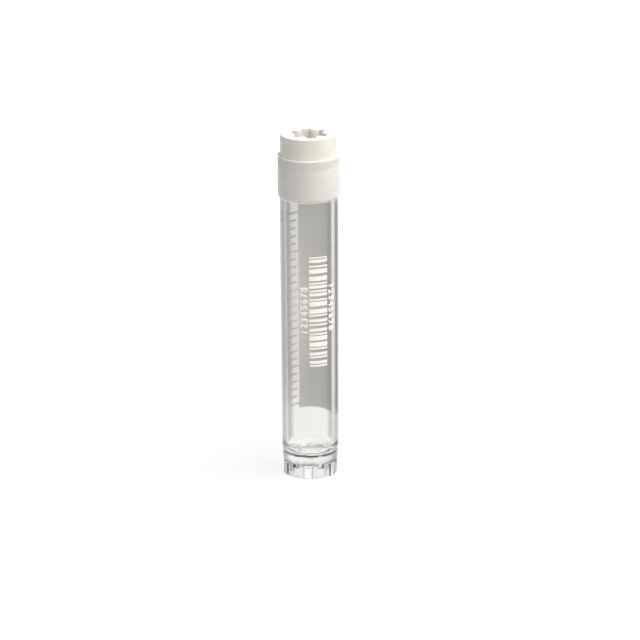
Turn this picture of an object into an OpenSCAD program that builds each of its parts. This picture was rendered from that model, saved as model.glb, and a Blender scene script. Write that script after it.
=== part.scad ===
// Screw-cap cryogenic sample vial with an outside thread and a star foot.
// Millimetres, +Z up. The origin is on the vial's axis, on the surface it stands on,
// and one rib of the star foot points along -Y.

/* [Tube body] */
// Outer diameter of the body just under its shoulder
body_d = 12.5; // [10:0.1:16]
// How much the body's outer diameter narrows from the land to the foot
body_draft = 0.3; // [0:0.05:0.6]
// Height of the shoulder that the cap closes down to
shoulder_z = 62.4; // [30:0.1:95]
// Length of the parallel land below the shoulder, where a rack holds the vial
land_h = 8; // [3:0.5:15]
// Bevel round the edge of the shoulder
shoulder_bevel = 0.15; // [0.1:0.05:0.5]
// Thickness of the body's wall at the mouth
body_wall = 1.35; // [1.1:0.05:1.8]

/* [Well] */
// How much the well narrows from mouth to floor, across its diameter
well_draft = 0.2; // [0:0.05:0.4]
// Height of the well's floor at its middle
well_floor_z = 4.6; // [4:0.1:9]
// Radius of the turn between the well's wall and its floor
well_corner_r = 2.2; // [1:0.1:3]
// How much the well's floor is dished
well_dish = 0.5; // [0.1:0.1:1]

/* [Star foot] */
// Height of the foot's skirt
foot_h = 3; // [2:0.1:4]
// Height of the bevel between the skirt and the body
foot_bevel_h = 0.7; // [0.4:0.1:1]
// Height of the waist above that bevel
waist_h = 2.2; // [1:0.1:3]
// How far the waist is set in from the body
waist_in = 0.12; // [0.05:0.01:0.2]
// Number of ribs round the foot
foot_ribs = 6; // [4:1:8]
// Width of a rib
rib_w = 1.9; // [1:0.1:2.4]
// How far a rib stands out from the skirt
rib_h = 0.3; // [0.15:0.05:0.5]
// Bevel on a rib's upper and lower ends
rib_bevel = 0.35; // [0.1:0.05:0.4]
// Thickness of the foot's skirt
foot_wall = 1.2; // [0.9:0.1:1.6]
// Width of a tooth inside the foot
tooth_w = 1.2; // [0.8:0.1:1.6]
// How far a tooth stands in from the skirt
tooth_h = 0.8; // [0.4:0.1:1.2]
// Width of a drain window between two ribs
window_w = 1.1; // [0.6:0.1:1.4]
// Height of a drain window
window_h = 0.9; // [0.5:0.1:1.4]

/* [Neck and thread] */
// Height of the neck above the shoulder
neck_h = 6.2; // [5:0.1:10]
// Thickness of the neck's wall at the thread's root
neck_wall = 0.6; // [0.5:0.05:0.9]
// Bevel round both edges of the mouth
mouth_bevel = 0.15; // [0.05:0.05:0.2]
// Rise of the cap in one turn
thread_lead = 3.6; // [2.8:0.1:4.4]
// Number of thread starts
thread_starts = 2; // [1:1:2]
// Height of the thread above its root
thread_depth = 0.38; // [0.25:0.01:0.45]
// Width of a thread ridge at its root
ridge_root_w = 0.95; // [0.6:0.05:1]
// Width of a thread ridge at its crest
ridge_crest_w = 0.4; // [0.2:0.05:0.5]
// Gap between a thread's crest and the wall that faces it
thread_gap = 0.12; // [0.08:0.01:0.2]
// Plain length of neck above and below the thread
thread_margin = 1.05; // [0.8:0.05:1.6]

/* [Cap] */
// Thickness of the cap's skirt over the thread
skirt_wall = 0.62; // [0.5:0.02:0.9]
// Gap between the closed cap and the shoulder
cap_gap = 0.15; // [0.15:0.05:0.6]
// Height of the inside bevel at the skirt's open end
lead_in_h = 0.9; // [0.4:0.1:1.2]
// Bevel round the skirt's lower edge
lip_bevel = 0.2; // [0.1:0.05:0.25]
// Thickness of the deck that closes the cap
deck_t = 1; // [0.7:0.1:1.4]
// Depth of the recess that holds the insert
recess_h = 1.2; // [0.8:0.1:2]
// Width of the ledge round the insert
ledge_w = 0.55; // [0.3:0.05:0.8]
// Distance from the ledge down to the seam line's middle
seam_drop = 0.25; // [0.15:0.05:0.4]
// Width and depth of the seam line
seam_w = 0.2; // [0.1:0.05:0.25]
// Number of grip grooves
grip_count = 90; // [36:6:96]
// Height of the band of grip grooves
grip_h = 1.75; // [1:0.05:4]
// Depth of a grip groove
grip_depth = 0.13; // [0.06:0.01:0.2]

/* [Insert] */
// Height of the insert above the ledge
head_h = 4.6; // [4:0.1:7]
// Bevel round the insert's top edge
head_bevel = 0.12; // [0.05:0.01:0.3]
// Width of the flat that the insert's head rests on
seat_w = 0.9; // [0.6:0.05:1.2]
// Gap round the insert's spigot in the cap's recess
spigot_gap = 0.04; // [0.02:0.01:0.1]
// Thickness of the spigot's wall
spigot_wall = 1; // [0.7:0.1:1.4]
// Number of keys that stop the insert turning in the cap
key_count = 6; // [3:1:8]
// Width of a key
key_w = 1; // [0.6:0.1:1.4]
// How far a key stands in from the recess wall
key_h = 0.5; // [0.3:0.1:0.6]
// Diameter of the drive socket
socket_d = 8.3; // [6:0.1:9]
// Depth of the drive socket
socket_h = 3.4; // [2:0.1:3.6]
// Number of ribs inside the drive socket
socket_ribs = 6; // [5:1:7]
// Width of a rib in the socket
socket_rib_w = 2; // [1:0.1:2]
// How far a rib stands into the socket
socket_rib_h = 1.15; // [0.85:0.05:1.2]
// Turn of the closed cap about its axis, in degrees
cap_turn = 45; // [0:1:59]

/* [Seal] */
// Thickness of the sealing ring
seal_t = 0.7; // [0.5:0.1:1.2]
// Width of the sealing ring
seal_w = 1.2; // [0.9:0.05:1.4]
// Gap between the ring and the cap that turns round it
seal_gap = 0.05; // [0.02:0.01:0.1]

/* [Hidden] */
$fn = 96;
eps = 0.02;              // lets cuts run a little past the face they open
ring_step = 6;           // degrees between two rings of a thread ridge
bite = 0.12;             // depth to which a ridge is rooted in its wall
run_out = 24;            // degrees over which a ridge sinks into its wall at each end

// diameters
waist_d = body_d - body_draft - 2*waist_in;
foot_d = body_d - body_draft - 2*rib_h;
mouth_d = body_d - 2*body_wall;
well_d = mouth_d - well_draft;
neck_d = mouth_d + 2*neck_wall;
cap_bore_d = neck_d + 2*(thread_depth + thread_gap);
skirt_d = cap_bore_d + 2*skirt_wall;
head_d = skirt_d - 2*ledge_w;
recess_d = head_d - 2*seat_w;
spigot_d = recess_d - 2*spigot_gap;
seal_d = cap_bore_d - 2*seal_gap;

// heights
waist_z = foot_h + foot_bevel_h;
body_z = waist_z + waist_h;
rim_z = shoulder_z + neck_h;
seal_top_z = rim_z + seal_t;
deck_z = seal_top_z + seal_gap;
recess_z = deck_z + deck_t;
ledge_z = recess_z + recess_h;
skirt_z = shoulder_z + cap_gap;
grip_top_z = ledge_z - seam_drop - seam_w/2;
head_z = ledge_z + head_h;

// thread: the cap's ridges are turned so that they run midway between the neck's
thread_pitch = thread_lead/thread_starts;
neck_thread_z = shoulder_z + thread_margin;
neck_thread_turns = (neck_h - 2*thread_margin)/thread_lead;
cap_thread_z = skirt_z + lead_in_h + ridge_root_w/2;
cap_thread_turns = (rim_z - ridge_root_w/2 - seal_gap - cap_thread_z)/thread_lead;
cap_thread_turn = 360*(cap_thread_z - neck_thread_z - thread_pitch/2)/thread_lead;

// A ridge that climbs round the axis: root_r is the wall it grows from and crest_r
// its top, so it stands outwards on a neck and inwards in a cap.
module thread_ridge(root_r, crest_r, from_z, turns) {
    out = crest_r > root_r ? 1 : -1;
    rings = ceil(turns*360/ring_step);
    function rise(i) = let (a = turns*360*min(i, rings - i)/rings) min(1, a/run_out);
    function corner(i, r, dz) = let (a = turns*360*i/rings)
        [r*cos(a), r*sin(a), from_z + thread_lead*a/360 + dz];
    points = [for (i = [0:rings])
        let (top_r = root_r - out*bite/2 + (crest_r - root_r + out*bite/2)*rise(i))
        each [
            corner(i, root_r - out*bite, -ridge_root_w/2),
            corner(i, top_r, -ridge_crest_w/2),
            corner(i, top_r, ridge_crest_w/2),
            corner(i, root_r - out*bite, ridge_root_w/2)]];
    sides = [for (i = [0:rings - 1], k = [0:3])
        let (a = 4*i + k, b = 4*i + (k + 1)%4)
        each [[a, b, b + 4], [a, b + 4, a + 4]]];
    last = 4*rings;
    ends = [[0, 2, 1], [0, 3, 2], [last, last + 1, last + 2], [last, last + 2, last + 3]];
    faces = concat(sides, ends);
    polyhedron(points, out > 0 ? faces : [for (f = faces) [f[0], f[2], f[1]]]);
}

module thread(root_r, crest_r, from_z, turns) {
    for (s = [0:thread_starts - 1]) rotate(360*s/thread_starts)
        thread_ridge(root_r, crest_r, from_z, turns);
}

// Copies of a shape that points along -Y, evenly round the axis
module round_axis(count) {
    for (i = [0:count - 1]) rotate(360*i/count) children();
}

// A bar along -Y, from one radius to another
module spoke(from_r, to_r, width) {
    translate([-width/2, -to_r]) square([width, to_r - from_r]);
}

module body_profile() {
    polygon([
        [0, 0],
        [foot_d/2, 0],
        [foot_d/2, foot_h],
        [waist_d/2, waist_z],
        [waist_d/2, body_z - waist_in],
        [(body_d - body_draft)/2, body_z],
        [body_d/2, shoulder_z - land_h],
        [body_d/2, shoulder_z - shoulder_bevel],
        [body_d/2 - shoulder_bevel, shoulder_z],
        [neck_d/2, shoulder_z],
        [neck_d/2, rim_z - mouth_bevel],
        [neck_d/2 - mouth_bevel, rim_z],
        [0, rim_z]]);
}

module well_profile() {
    turn_x = well_d/2 - well_corner_r;
    turn_z = well_floor_z + well_dish + well_corner_r;
    union() {
        polygon([
            [0, well_floor_z],
            [turn_x, turn_z - well_corner_r],
            [turn_x, turn_z],
            [well_d/2, turn_z],
            [mouth_d/2, rim_z - mouth_bevel],
            [mouth_d/2 + mouth_bevel + eps, rim_z + eps],
            [0, rim_z + eps]]);
        translate([turn_x, turn_z]) intersection() {
            circle(well_corner_r);
            translate([0, -well_corner_r]) square(well_corner_r);
        }
    }
}

// Outer ribs of the star foot, bevelled at both ends
module foot_rib_ring() {
    inner_r = foot_d/2 - foot_wall/2;
    outer_r = (body_d - body_draft)/2;
    intersection() {
        rotate_extrude() polygon([
            [inner_r, 0],
            [outer_r - rib_bevel, 0],
            [outer_r, rib_bevel],
            [outer_r, foot_h - rib_bevel],
            [outer_r - rib_bevel, foot_h],
            [inner_r, foot_h]]);
        linear_extrude(foot_h) round_axis(foot_ribs) spoke(0, outer_r + eps, rib_w);
    }
}

// Star-shaped hollow under the foot: a round hollow less one tooth behind each rib
module foot_hollow() {
    hollow_r = foot_d/2 - foot_wall;
    translate([0, 0, -eps]) linear_extrude(foot_h + eps) difference() {
        circle(hollow_r);
        round_axis(foot_ribs) spoke(hollow_r - tooth_h, hollow_r + eps, tooth_w);
    }
}

module drain_windows() {
    translate([0, 0, foot_h - window_h]) linear_extrude(window_h)
        round_axis(foot_ribs) rotate(180/foot_ribs)
            spoke(foot_d/2 - foot_wall - eps, foot_d/2 + eps, window_w);
}

module tube() {
    color([0.93, 0.94, 0.93, 0.35]) {
        difference() {
            union() {
                rotate_extrude() body_profile();
                foot_rib_ring();
            }
            rotate_extrude() well_profile();
            foot_hollow();
            drain_windows();
        }
        thread(neck_d/2, neck_d/2 + thread_depth, neck_thread_z, neck_thread_turns);
    }
}

module cap_profile() {
    bore_r = cap_bore_d/2;
    outer_r = skirt_d/2;
    seam_z = ledge_z - seam_drop;
    polygon([
        [0, deck_z],
        [bore_r, deck_z],
        [bore_r, skirt_z + lead_in_h],
        [outer_r - lip_bevel - seam_w/2, skirt_z],
        [outer_r - lip_bevel, skirt_z],
        [outer_r, skirt_z + lip_bevel],
        [outer_r, seam_z - seam_w/2],
        [outer_r - seam_w/2, seam_z],
        [outer_r, seam_z + seam_w/2],
        [outer_r, ledge_z],
        [recess_d/2, ledge_z],
        [recess_d/2, recess_z],
        [0, recess_z]]);
}

// The band of fine grip grooves, as the ring of plastic that they remove
module grip_grooves() {
    translate([0, 0, grip_top_z - grip_h]) linear_extrude(grip_h)
        round_axis(grip_count) translate([0, -skirt_d/2])
            polygon([[0, grip_depth], [grip_depth, -eps], [-grip_depth, -eps]]);
}

// Keys round the recess, or the slots for them with a gap all round
module recess_keys(gap) {
    intersection() {
        circle(recess_d/2 + gap);
        round_axis(key_count)
            spoke(recess_d/2 - key_h - gap, recess_d/2 + key_h, key_w + 2*gap);
    }
}

module screw_cap() {
    color([0.86, 0.86, 0.82, 0.8]) {
        rotate(cap_turn) {
            difference() {
                rotate_extrude() cap_profile();
                grip_grooves();
            }
            translate([0, 0, recess_z]) linear_extrude(recess_h - spigot_gap) recess_keys(0);
        }
        rotate(cap_thread_turn)
            thread(cap_bore_d/2, cap_bore_d/2 - thread_depth, cap_thread_z, cap_thread_turns);
    }
}

// The drive socket's outline: a circle with round-nosed ribs standing into it
module socket_outline() {
    nose_r = socket_d/2 - socket_rib_h + socket_rib_w/2;
    difference() {
        circle(d = socket_d);
        round_axis(socket_ribs) {
            spoke(nose_r, nose_r + socket_rib_h, socket_rib_w);
            translate([0, -nose_r]) circle(d = socket_rib_w);
        }
    }
}

module cap_insert() {
    head_r = head_d/2;
    spigot_z = recess_z + spigot_gap;
    color([0.95, 0.93, 0.88]) rotate(cap_turn) difference() {
        rotate_extrude() polygon([
            [0, ledge_z],
            [spigot_d/2 - spigot_wall, ledge_z],
            [spigot_d/2 - spigot_wall, spigot_z],
            [spigot_d/2, spigot_z],
            [spigot_d/2, ledge_z],
            [head_r, ledge_z],
            [head_r, head_z - head_bevel],
            [head_r - head_bevel, head_z],
            [0, head_z]]);
        translate([0, 0, head_z - socket_h]) linear_extrude(socket_h + eps)
            socket_outline();
        translate([0, 0, spigot_z - eps]) linear_extrude(recess_h - spigot_gap + eps)
            recess_keys(spigot_gap);
    }
}

module seal_ring() {
    color([0.92, 0.92, 0.9]) translate([0, 0, rim_z]) linear_extrude(seal_t) difference() {
        circle(d = seal_d);
        circle(d = seal_d - 2*seal_w);
    }
}

tube();
screw_cap();
cap_insert();
seal_ring();
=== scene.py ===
import math
import bmesh
import bpy
from mathutils import Matrix, Vector


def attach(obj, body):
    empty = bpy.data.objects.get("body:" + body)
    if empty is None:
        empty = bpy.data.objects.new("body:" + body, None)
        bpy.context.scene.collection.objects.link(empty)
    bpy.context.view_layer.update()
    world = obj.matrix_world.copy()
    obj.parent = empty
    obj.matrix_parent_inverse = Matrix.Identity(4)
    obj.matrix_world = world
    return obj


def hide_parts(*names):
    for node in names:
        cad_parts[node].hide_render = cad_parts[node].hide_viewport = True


# Looks of a screw-cap cryogenic vial. Sizes in the dictionaries are millimetres, meshes are metres.
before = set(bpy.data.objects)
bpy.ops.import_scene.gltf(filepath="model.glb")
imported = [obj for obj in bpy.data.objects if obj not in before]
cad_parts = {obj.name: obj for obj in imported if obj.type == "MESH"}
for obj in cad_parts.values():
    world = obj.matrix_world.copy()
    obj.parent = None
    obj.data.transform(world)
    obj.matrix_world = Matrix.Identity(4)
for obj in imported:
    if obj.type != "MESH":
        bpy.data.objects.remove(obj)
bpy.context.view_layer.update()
mm = 0.001
white = (1, 1, 1, 1)
print("frame loaded")


def linear(hexColour):
    # sRGB hex to linear RGBA
    channels = [int(hexColour[i:i + 2], 16) / 255 for i in (1, 3, 5)]
    return [c / 12.92 if c <= 0.04045 else ((c + 0.055) / 1.055) ** 2.4 for c in channels] + [1]


def addNode(tree, kind, inputs={}, **settings):
    # adds a node with its settings; an input takes a value, a socket or a node's first output
    node = tree.nodes.new(kind)
    for name, value in settings.items():
        setattr(node, name, value)
    for name, value in inputs.items():
        if isinstance(value, bpy.types.Node):
            value = value.outputs[0]
        if isinstance(value, bpy.types.NodeSocket):
            tree.links.new(value, node.inputs[name])
        else:
            node.inputs[name].default_value = value
    return node


# settings that come back often; a Mix node has its factor at 0, numbers at 2 and 3, colours at 6 and 7
smoothStep = {"interpolation_type": "SMOOTHSTEP"}
colourMix = {"data_type": "RGBA"}
colourMultiply = {"data_type": "RGBA", "blend_type": "MULTIPLY"}
noiseMiddle = {"From Min": 0.3, "From Max": 0.7}     # nearly all of a noise lies between these


def newMaterial(name):
    material = bpy.data.materials.new(name)
    material.use_nodes = True
    material.node_tree.nodes.clear()
    return material, material.node_tree


def cloudyColour(tree, place, look, detail=2.0):
    # two close colours in soft clouds, because resin and ink never mix quite evenly
    clouds = addNode(tree, "ShaderNodeTexNoise",
                     {"Vector": place, "Scale": 1 / (look["cloudSize"] * mm), "Detail": detail})
    mask = addNode(tree, "ShaderNodeMapRange", {"Value": clouds, **noiseMiddle})
    return addNode(tree, "ShaderNodeMix",
                   {0: mask, 6: linear(look["colour"]), 7: linear(look["cloud"])}, **colourMix).outputs[2]


def fineGrain(tree, place, look):
    # the fine texture of a mould or a pad, drawn as coarse as it needs to show
    grain = addNode(tree, "ShaderNodeTexNoise",
                    {"Vector": place, "Scale": 1 / (look["grainSize"] * mm), "Detail": 3.0})
    return addNode(tree, "ShaderNodeBump",
                   {"Height": grain, "Strength": look["grain"], "Distance": look["grainDepth"] * mm})


def unevenShine(tree, place, look, detail=2.0):
    # roughness that wanders between two values
    patches = addNode(tree, "ShaderNodeTexNoise",
                      {"Vector": place, "Scale": 1 / (look["shineSize"] * mm), "Detail": detail})
    return addNode(tree, "ShaderNodeMapRange",
                   {"Value": patches, "To Min": look["roughLow"], "To Max": look["roughHigh"],
                    **noiseMiddle})


def distanceFromAxis(tree, place):
    level = addNode(tree, "ShaderNodeVectorMath", {0: place, 1: (1, 1, 0)}, operation="MULTIPLY")
    return addNode(tree, "ShaderNodeVectorMath", {0: level}, operation="LENGTH").outputs["Value"]


# shades are painted light and shade by height, dark rings and pale bands that stand in for what the thick
# base refracts into rings. A zone of tint has its radius and its height as (middle, reach)
clearLook = {"name": "clarifiedPolypropylene", "ior": 1.49, "tint": "#ffffff", "paintedEdgeShade": "#989590",
             "edgeFrom": 0.30, "edgeTo": 0.60, "throughTint": "#c8c4bb", "absorbPerMm": 0.005,
             "waveSize": 2.6, "waveDraw": 0.35, "wave": 0.35, "waveHeight": 0.005,
             "shineSize": 1.2, "roughLow": 0.03, "roughHigh": 0.09,
             "milkiness": 0.02, "glow": 0.0, "lampTint": "#f8f8f6",
             "patchSize": 1.8, "patchFrom": 0.38, "patchTo": 0.5, "patchLow": 0.55, "baseTop": 7.0,
             "well": {"tint": "#ecebea", "radius": (0, 5.2), "height": (5.1, 1.9)},
             "footPanel": {"tint": "#d0d0d2", "radius": (5.8, 0.2), "height": (0, 3.2)},
             "rippleSize": 1.1, "ripple": 0.12,
             "shades": [(0, "#f8f8f8"), (2.9, "#f5f5f4"), (3.05, "#a09f9c"), (3.65, "#b9b8b5"),
                        (3.8, "#f8f8f7"), (4.86, "#f8f8f7"), (4.98, "#272625"), (5.38, "#272625"),
                        (5.54, "#e6e5e1"), (5.72, "#ffffff"), (5.86, "#bcbbb7"), (5.97, "#bcbbb7"),
                        (6.1, "#faf9f8"), (7.0, "#f8f7f6"), (10.0, "#f8f6f5")]}
# painted shade: a near-black copy of the clear plastic for the foot's steep sides
footSideShadeLook = {**clearLook, "name": "clarifiedEdgePolypropylene", "tint": "#282726", "paintedEdgeShade": "#1e1d1c",
            "milkiness": 0.03}
# the textured edge has a faint glow of its own, painted light standing in for light piped up the wall
frostAndGlowLook = {**clearLook, "name": "texturedPolypropylene", "tint": "#fafaf8", "paintedEdgeShade": "#f0efeb",
             "milkiness": 0.5, "glow": 0.38, "roughLow": 0.3, "roughHigh": 0.4}


def heightShades(tree, place, z, look):
    # the look's painted shades by height, with edges that ripple a little
    jitter = addNode(tree, "ShaderNodeTexNoise",
                     {"Vector": place, "Scale": 1 / (look["rippleSize"] * mm), "Detail": 1.0})
    rippled = addNode(tree, "ShaderNodeMath", {0: jitter, 1: 2 * look["ripple"] * mm, 2: z},
                      operation="MULTIPLY_ADD")
    top = look["shades"][-1][0]
    height = addNode(tree, "ShaderNodeMapRange", {"Value": rippled, "From Min": look["ripple"] * mm,
                                                  "From Max": (top + look["ripple"]) * mm})
    ramp = addNode(tree, "ShaderNodeValToRGB", {"Fac": height})
    stops = ramp.color_ramp.elements
    for at, colour in look["shades"]:
        stop = stops[0] if at == 0 else stops[-1] if at == top else stops.new(at / top)
        stop.color = linear(colour)
    return ramp


def tintZone(tree, colour, radius, z, zone, blend):
    # a tint where both the radius and the height are within reach of the zone's middle
    near = [addNode(tree, "ShaderNodeMath", {0: value, 1: middle * mm, 2: reach * mm},
                    operation="COMPARE")
            for value, (middle, reach) in ((radius, zone["radius"]), (z, zone["height"]))]
    inside = addNode(tree, "ShaderNodeMath", {0: near[0], 1: near[1]}, operation="MULTIPLY")
    return addNode(tree, "ShaderNodeMix", {0: inside, 6: colour, 7: linear(zone["tint"])},
                   **blend).outputs[2]


def makeClearPolypropylene(look):
    # clarified polypropylene, injection moulded against a polished core: glassy with a faint grey body
    # and a slow waviness; where the wall is seen end on its colour is painted dark, a painted shade for
    # the darker studio seen there
    material, tree = newMaterial(look["name"])
    place = addNode(tree, "ShaderNodeTexCoord").outputs["Object"]
    z = addNode(tree, "ShaderNodeSeparateXYZ", {0: place}).outputs[2]
    radius = distanceFromAxis(tree, place)
    path = addNode(tree, "ShaderNodeLightPath").outputs
    drawn = addNode(tree, "ShaderNodeMapping", {"Vector": place, "Scale": (1, 1, look["waveDraw"])})
    wave = addNode(tree, "ShaderNodeTexNoise",
                   {"Vector": drawn, "Scale": 1 / (look["waveSize"] * mm), "Detail": 1.0})
    bump = addNode(tree, "ShaderNodeBump",
                   {"Height": wave, "Strength": look["wave"], "Distance": look["waveHeight"] * mm})
    # painted shade: the colour darkens where the surface is seen end on, only for rays not yet bounced
    # off a diffuse surface
    slant = addNode(tree, "ShaderNodeLayerWeight").outputs["Facing"]
    edge = addNode(tree, "ShaderNodeMapRange",
                   {"Value": slant, "From Min": look["edgeFrom"], "From Max": look["edgeTo"]},
                   **smoothStep)
    direct = addNode(tree, "ShaderNodeMath", {0: path["Diffuse Depth"], 1: 0.5}, operation="LESS_THAN")
    edgeShadeMask = addNode(tree, "ShaderNodeMath", {0: edge, 1: direct}, operation="MULTIPLY")
    tint = addNode(tree, "ShaderNodeMix",
                   {0: edgeShadeMask, 6: linear(look["tint"]), 7: linear(look["paintedEdgeShade"])}, **colourMix)
    # higher up the painted shades tint light both ways; in the base only light going in, and in patches,
    # so the painted dark ring breaks up
    leaving = addNode(tree, "ShaderNodeNewGeometry").outputs["Backfacing"]
    entering = addNode(tree, "ShaderNodeMath", {0: 1.0, 1: leaving}, operation="SUBTRACT")
    patches = addNode(tree, "ShaderNodeTexNoise",
                      {"Vector": place, "Scale": 1 / (look["patchSize"] * mm), "Detail": 1.0})
    broken = addNode(tree, "ShaderNodeMapRange",
                     {"Value": patches, "From Min": look["patchFrom"], "From Max": look["patchTo"],
                      "To Min": look["patchLow"]}, **smoothStep)
    inBase = addNode(tree, "ShaderNodeMath", {0: entering, 1: broken}, operation="MULTIPLY")
    higher = addNode(tree, "ShaderNodeMath", {0: z, 1: look["baseTop"] * mm}, operation="GREATER_THAN")
    shaded = addNode(tree, "ShaderNodeMath", {0: higher, 1: inBase}, operation="MAXIMUM")
    banded = addNode(tree, "ShaderNodeMix",
                     {0: shaded, 6: tint.outputs[2], 7: heightShades(tree, place, z, look)},
                     **colourMultiply)
    # painted light and shade: the inside of the well's end takes a plain tone in place of the painted
    # shades, and the foot's wall between its ribs is painted darker than the ribs
    lined = tintZone(tree, banded.outputs[2], radius, z, look["well"], colourMix)
    footed = tintZone(tree, lined, radius, z, look["footPanel"], colourMultiply)
    shell = addNode(tree, "ShaderNodeBsdfPrincipled",
                    {"Base Color": footed, "Roughness": unevenShine(tree, place, look, 3.0),
                     "IOR": look["ior"], "Transmission Weight": 1 - look["milkiness"], "Normal": bump,
                     "Emission Color": linear(look["tint"]), "Emission Strength": look["glow"]})
    # lamp light passes straight through, which keeps the shadow soft and pale
    clear = addNode(tree, "ShaderNodeBsdfTransparent", {"Color": linear(look["lampTint"])})
    mixed = addNode(tree, "ShaderNodeMixShader", {0: path["Is Shadow Ray"], 1: shell, 2: clear})
    through = linear(look["throughTint"])
    density = look["absorbPerMm"] / mm / (1 - through[1])
    body = addNode(tree, "ShaderNodeVolumeAbsorption", {"Color": through, "Density": density})
    addNode(tree, "ShaderNodeOutputMaterial", {"Surface": mixed, "Volume": body})
    return material


naturalLook = {"ior": 1.49, "colour": "#f4f3f1", "cloud": "#efeeec", "cloudSize": 2.4,
               "grainSize": 0.12, "grain": 0.25, "grainDepth": 0.01,
               "shineSize": 1.5, "roughLow": 0.34, "roughHigh": 0.46,
               "threadShade": "#ebeae7", "lineFrom": 0.80, "lineTo": 0.95, "lineMiddle": 0.1,
               "lineFade": 0.6, "grooveShade": "#e6e5e2", "grooveFrom": -0.2, "grooveTo": 0.9,
               "seeThrough": 0.06, "bleed": 0.5, "bleedDepth": 0.9, "bleedColour": (1.0, 0.97, 0.9)}


def makeNaturalPolypropylene(look, cap):
    # unpigmented polypropylene, injection moulded and lightly textured: waxy and half see-through;
    # the thread inside is shown by faint slanting lines of painted shade
    material, tree = newMaterial("naturalPolypropylene")
    place = addNode(tree, "ShaderNodeTexCoord").outputs["Object"]
    axes = addNode(tree, "ShaderNodeSeparateXYZ", {0: place}).outputs
    z = axes[2]
    around = addNode(tree, "ShaderNodeMath", {0: axes[1], 1: axes[0]}, operation="ARCTAN2")
    # painted shade: a wave that follows the two-start thread; each ridge shows as a pair of darker lines
    climb = addNode(tree, "ShaderNodeMath", {0: around, 1: -cap["threadLead"] * mm / math.tau, 2: z},
                    operation="MULTIPLY_ADD")
    phase = addNode(tree, "ShaderNodeMath",
                    {0: climb, 1: math.tau * 2 / (cap["threadLead"] * mm), 2: cap["linePhase"]},
                    operation="MULTIPLY_ADD")
    wave = addNode(tree, "ShaderNodeMath", {0: phase}, operation="COSINE")
    line = addNode(tree, "ShaderNodeMapRange",
                   {"Value": wave, "From Min": look["lineFrom"], "From Max": look["lineTo"]},
                   **smoothStep)
    inner = addNode(tree, "ShaderNodeMapRange",
                    {"Value": wave, "From Min": look["lineTo"],
                     "To Min": 1.0, "To Max": look["lineMiddle"]}, **smoothStep)
    above = addNode(tree, "ShaderNodeMapRange",
                    {"Value": z, "From Min": cap["threadLow"] * mm,
                     "From Max": (cap["threadLow"] + look["lineFade"]) * mm}, **smoothStep)
    below = addNode(tree, "ShaderNodeMapRange",
                    {"Value": z, "From Min": (cap["threadHigh"] - look["lineFade"]) * mm,
                     "From Max": cap["threadHigh"] * mm, "To Min": 1.0, "To Max": 0.0}, **smoothStep)
    pair = addNode(tree, "ShaderNodeMath", {0: line, 1: inner}, operation="MULTIPLY")
    zone = addNode(tree, "ShaderNodeMath", {0: above, 1: below}, operation="MULTIPLY")
    shown = addNode(tree, "ShaderNodeMath", {0: zone, 1: pair}, operation="MULTIPLY")
    lined = addNode(tree, "ShaderNodeMix",
                    {0: shown, 6: cloudyColour(tree, place, look), 7: linear(look["threadShade"])},
                    **colourMix)
    # painted shade in the grip's grooves, from their own count and turn
    turned = -math.radians(cap["turn"]) * cap["gripCount"]
    groovePhase = addNode(tree, "ShaderNodeMath", {0: around, 1: cap["gripCount"], 2: turned},
                          operation="MULTIPLY_ADD")
    groove = addNode(tree, "ShaderNodeMath", {0: groovePhase}, operation="COSINE")
    grooved = addNode(tree, "ShaderNodeMapRange",
                      {"Value": groove, "From Min": look["grooveFrom"], "From Max": look["grooveTo"]},
                      **smoothStep)
    aboveBand = addNode(tree, "ShaderNodeMath", {0: z, 1: cap["gripLow"] * mm}, operation="GREATER_THAN")
    belowBand = addNode(tree, "ShaderNodeMath", {0: z, 1: cap["gripHigh"] * mm}, operation="LESS_THAN")
    band = addNode(tree, "ShaderNodeMath", {0: aboveBand, 1: belowBand}, operation="MULTIPLY")
    shaded = addNode(tree, "ShaderNodeMath", {0: band, 1: grooved}, operation="MULTIPLY")
    colour = addNode(tree, "ShaderNodeMix",
                     {0: shaded, 6: lined.outputs[2], 7: linear(look["grooveShade"])}, **colourMix)
    skin = addNode(tree, "ShaderNodeBsdfPrincipled",
                   {"Base Color": colour.outputs[2], "Roughness": unevenShine(tree, place, look),
                    "IOR": look["ior"], "Transmission Weight": look["seeThrough"],
                    "Subsurface Weight": look["bleed"], "Subsurface Radius": look["bleedColour"],
                    "Subsurface Scale": look["bleedDepth"] * mm, "Normal": fineGrain(tree, place, look)})
    addNode(tree, "ShaderNodeOutputMaterial", {"Surface": skin})
    return material


whiteLook = {"ior": 1.49, "colour": "#f4f1eb", "cloud": "#efebe5", "cloudSize": 3.0,
             "grainSize": 0.15, "grain": 0.2, "grainDepth": 0.01,
             "shineSize": 1.8, "roughLow": 0.36, "roughHigh": 0.48,
             "recess": "#e5e8f0", "recessRadius": 4.22, "recessTop": 76.03, "recessFade": 1.2,
             "recessLeast": 0.4, "bleed": 0.2, "bleedDepth": 0.5, "bleedColour": (1.0, 0.9, 0.75)}


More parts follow.
